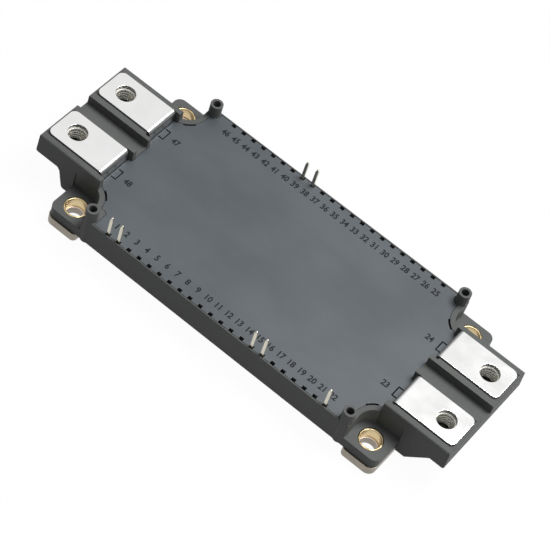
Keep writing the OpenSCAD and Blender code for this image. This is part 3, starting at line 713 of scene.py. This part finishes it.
def digits(text):
    """Slab of a number at a font size of one, from one below the origin to one above it."""
    curve = bpy.data.curves.new("digits", "FONT")
    curve.body = text
    curve.align_x = "CENTER"
    curve.align_y = "CENTER"
    curve.resolution_u = 3
    curve.offset = DIGIT_WEIGHT
    curve.extrude = 1.0
    holder = bpy.data.objects.new("digits", curve)
    mesh = bpy.data.meshes.new_from_object(holder)
    bpy.data.objects.remove(holder)
    bpy.data.curves.remove(curve)
    return mesh


def number_places():
    """Each number with the place of its middle on the lid."""
    for place in range(PLACES):
        x = (place - (PLACES - 1) / 2) * PIN_PITCH
        yield str(place + 1), x, -ROW_Y
        yield str(LAST_PLACE - place), x, ROW_Y
    for text, side_x, side_y in (("23", 1, -1), ("24", 1, 1), ("47", -1, 1), ("48", -1, -1)):
        yield text, side_x * TERMINAL_MARK.x, side_y * TERMINAL_MARK.y


# %% Every number in its place
nought = [vertex.co.y for vertex in digits("0").vertices]
scale = DIGIT_HEIGHT / (max(nought) - min(nought))
marks = bmesh.new()
for text, x, y in number_places():
    mesh = digits(text)
    top = max(v.co.y for v in mesh.vertices)
    foot = min(v.co.y for v in mesh.vertices)
    for vertex in mesh.vertices:
        vertex.co = (vertex.co.x * DIGIT_WIDTH * scale + x,
                     (vertex.co.y - (top + foot) / 2) * scale + y,
                     vertex.co.z * MARK_DEPTH + LID_TOP)
    marks.from_mesh(mesh)
    bpy.data.meshes.remove(mesh)
bmesh.ops.remove_doubles(marks, verts=marks.verts, dist=MERGE_DISTANCE)
bmesh.ops.recalc_face_normals(marks, faces=marks.faces)
mark_mesh = bpy.data.meshes.new("place_numbers")
marks.to_mesh(mark_mesh)
marks.free()
numbers = bpy.data.objects.new("place_numbers", mark_mesh)
bpy.context.scene.collection.objects.link(numbers)
finished(numbers, LASER_MARK, "lid_plastic")
print(len(list(number_places())), "numbers with", len(mark_mesh.polygons), "faces")

# %% [markdown]
# ## The circuit inside
#
# The lid hides the chips, the copper tracks, the ceramic sheets and the bond wires. They could
# be copied and rounded like the rest, but their CAD shapes are right as they are, so they only
# need their finishes.

# %% Inner finishes
INNER = {"back_copper": BARE_COPPER, "ceramic": CERAMIC_WHITE, "copper_tracks": BARE_COPPER,
    "igbt_high": CHIP_METAL, "igbt_low": CHIP_METAL, "diode_high": CHIP_METAL,
    "diode_low": CHIP_METAL, "bond_wires": WIRE_ALUMINIUM}
inner = {kind + "_" + third: finish for kind, finish in INNER.items() for third in THIRDS}
inner.update({"link_wires": WIRE_ALUMINIUM, "terminal_wires": WIRE_ALUMINIUM,
    "signal_wires": WIRE_ALUMINIUM, "thermistor": THERMISTOR_BODY})
for node, finish in inner.items():
    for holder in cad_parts[node].material_slots:
        holder.material = finish
print(len(inner), "inner pieces painted")

# %% [markdown]
# ## The studio
#
# The module lies on a plain pale floor in even light. The camera, and everything that mirrors
# the room, sees that floor and the ceiling as white, while the light that falls on the module
# stays at a plain level. A stronger lamp would whiten the floor too, but it would bleach the
# module, so Light Path tells the two kinds of ray apart.


# %% White for the eye, plain light for the rest
def seen_or_mirrored(tree):
    """1 for rays from the camera, from a gloss or through glass, 0 for the rest."""
    total = tree.node("ShaderNodeLightPath", out="Is Camera Ray")
    for kind in ("Is Glossy Ray", "Is Transmission Ray"):
        total = total + tree.node("ShaderNodeLightPath", out=kind)
    return tree.sum("MINIMUM", total, 1.0)


# %% [markdown]
# The floor mixes two shaders. The greater share glows white for the eye and for mirrors. The
# rest is matt paper, which takes the light and with it the soft shadow of the module.

# %% The floor
FLOOR_SIZE = 3.0
FLOOR_WHITE = 1.07
FLOOR_GREY = (0.36, 0.36, 0.36, 1)
SHADOW_SHARE = 0.10

floor_mesh = bpy.data.meshes.new("floor")
half = FLOOR_SIZE / 2
outline = [(-half, -half, 0), (half, -half, 0), (half, half, 0), (-half, half, 0)]
floor_mesh.from_pydata(outline, [], [(0, 1, 2, 3)])
floor = bpy.data.objects.new("floor", floor_mesh)
bpy.context.scene.collection.objects.link(floor)

paper = Finish("pale_floor")
matt = paper.node("ShaderNodeBsdfDiffuse", {}, {"Color": FLOOR_GREY})
white = paper.node("ShaderNodeEmission", {}, {"Color": (1, 1, 1, 1), "Strength": FLOOR_WHITE})
blend = paper.node("ShaderNodeMixShader", {}, {0: seen_or_mirrored(paper) * (1 - SHADOW_SHARE),
    1: matt, 2: white})
paper.node("ShaderNodeOutputMaterial", {}, {"Surface": blend})
floor_mesh.materials.append(paper.material)
print("floor", FLOOR_SIZE, "m wide;", SHADOW_SHARE, "of it takes the light and the shadow")

# %% [markdown]
# The room is a world without an image. A mirror image of it turns grey towards the horizon,
# which gives bends and rims of bright metal their shape. All other rays find the low level
# that fills the shadows.

# %% The room
FILL_LEVEL = 0.16
HORIZON_LEVEL = 0.42
HORIZON_HEIGHT = 0.35
CEILING_HEIGHT = 0.76

world = bpy.data.worlds.new("room")
world.use_nodes = True
world.node_tree.nodes.clear()
room = Tree(world.node_tree)
mirrored = seen_or_mirrored(room)
height = room.axes(room.node("ShaderNodeTexCoord", out="Generated"))[2]
ceiling = room.node("ShaderNodeMapRange", {"interpolation_type": "SMOOTHSTEP"}, {"Value": height,
    "From Min": HORIZON_HEIGHT, "From Max": CEILING_HEIGHT, "To Min": HORIZON_LEVEL, "To Max": 1.0})
eye = room.node("ShaderNodeLightPath", out="Is Camera Ray")
seen = room.sum("MAXIMUM", eye, mirrored * ceiling)
sky = room.node("ShaderNodeBackground", {}, {"Color": (1, 1, 1, 1),
    "Strength": room.sum("MAXIMUM", seen, FILL_LEVEL)})
room.node("ShaderNodeOutputWorld", {}, {"Surface": sky})
bpy.context.scene.world = world
print("room white to the eye, grey", HORIZON_LEVEL, "at a mirrored horizon; fill", FILL_LEVEL)

# %% [markdown]
# Two area lamps do the rest. The strong one hangs overhead, a little behind and to the right,
# and its mirror image lies over the lid as a soft gradient. The weak one comes from the right,
# low enough to reach the end faces of the terminal blocks.


# %% Lamps
def softbox(name, place, aim, width, power):
    """A square area lamp that points at a place."""
    data = bpy.data.lights.new(name, "AREA")
    data.shape = "SQUARE"
    data.size = width
    data.energy = power
    lamp = bpy.data.objects.new(name, data)
    lamp.location = place
    lamp.rotation_euler = (Vector(place) - Vector(aim)).to_track_quat("Z", "Y").to_euler()
    bpy.context.scene.collection.objects.link(lamp)
    return lamp


softbox("overhead_box", (0.22, 0.29, 0.86), aim=(0, 0, 0), width=0.50, power=8.7)
softbox("right_box", (0.90, -0.15, 0.28), aim=(0, 0, 0), width=0.4, power=0.9)
print(len(bpy.data.lights), "lamps,", sum(lamp.energy for lamp in bpy.data.lights), "W")

# %% [markdown]
# ## The camera
#
# A long lens looks down on the module from the front right, well above the bench, and is
# turned so that the long side runs down to the right.

# %% Camera
TARGET = Vector((-0.79, 4.08, 0)) * MM
AZIMUTH = math.radians(21.513)
ELEVATION = math.radians(52.573)
ROLL = math.radians(20.422)
DISTANCE = 663.67 * MM
SENSOR_WIDTH = 36
FOCAL_LENGTH = 147.06

towards = Vector((math.sin(AZIMUTH) * math.cos(ELEVATION),
                  -math.cos(AZIMUTH) * math.cos(ELEVATION),
                  math.sin(ELEVATION)))
lens = bpy.data.cameras.new("camera")
lens.sensor_width = SENSOR_WIDTH
lens.lens = FOCAL_LENGTH
lens.clip_end = 10
camera = bpy.data.objects.new("camera", lens)
camera.location = TARGET + towards * DISTANCE
camera.rotation_mode = "QUATERNION"
camera.rotation_quaternion = towards.to_track_quat("Z", "Y") @ Quaternion((0, 0, 1), ROLL)
bpy.context.scene.collection.objects.link(camera)
bpy.context.scene.camera = camera
bpy.context.scene.view_settings.view_transform = "Standard"
print("lens", FOCAL_LENGTH, "mm at", DISTANCE / MM, "mm")
